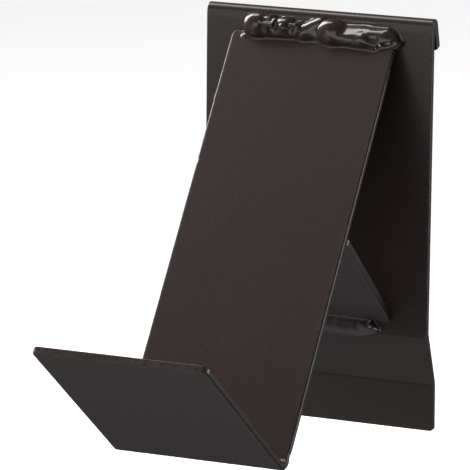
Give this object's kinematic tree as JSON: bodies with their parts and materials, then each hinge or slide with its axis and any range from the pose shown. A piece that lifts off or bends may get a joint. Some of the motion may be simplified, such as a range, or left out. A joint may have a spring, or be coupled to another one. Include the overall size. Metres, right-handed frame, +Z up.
{
  "type": "photo album stand",
  "caption": "Painted sheet-steel stand that hooks over a rail: a bent back plate carries a leaning panel with an upturned lip for a photo album, held off by a welded brace.",
  "frame": {"origin": "under the crest of the hook, on the plane of the plate's back face, at mid-width: where the middle of the rail's top edge sits", "axes": "+X across the width, +Y towards the wall behind the stand, +Z up"},
  "size_m": [0.1, 0.2073, 0.1755],
  "materials": {
    "paint": "dark brown-black semi-gloss paint over sheet steel, fine orange peel, small chips at the corners",
    "weld_paint": "the same dark paint, glossy and thick over the weld beads"
  },
  "bodies": {
    "root": {"back_plate": "paint", "front_panel": "paint", "brace": "paint", "weld_top_left": "weld_paint", "weld_top_tail": "weld_paint", "weld_top_right": "weld_paint", "weld_brace_plate": "weld_paint", "weld_brace_panel": "weld_paint"}
  },
  "joints": []
}
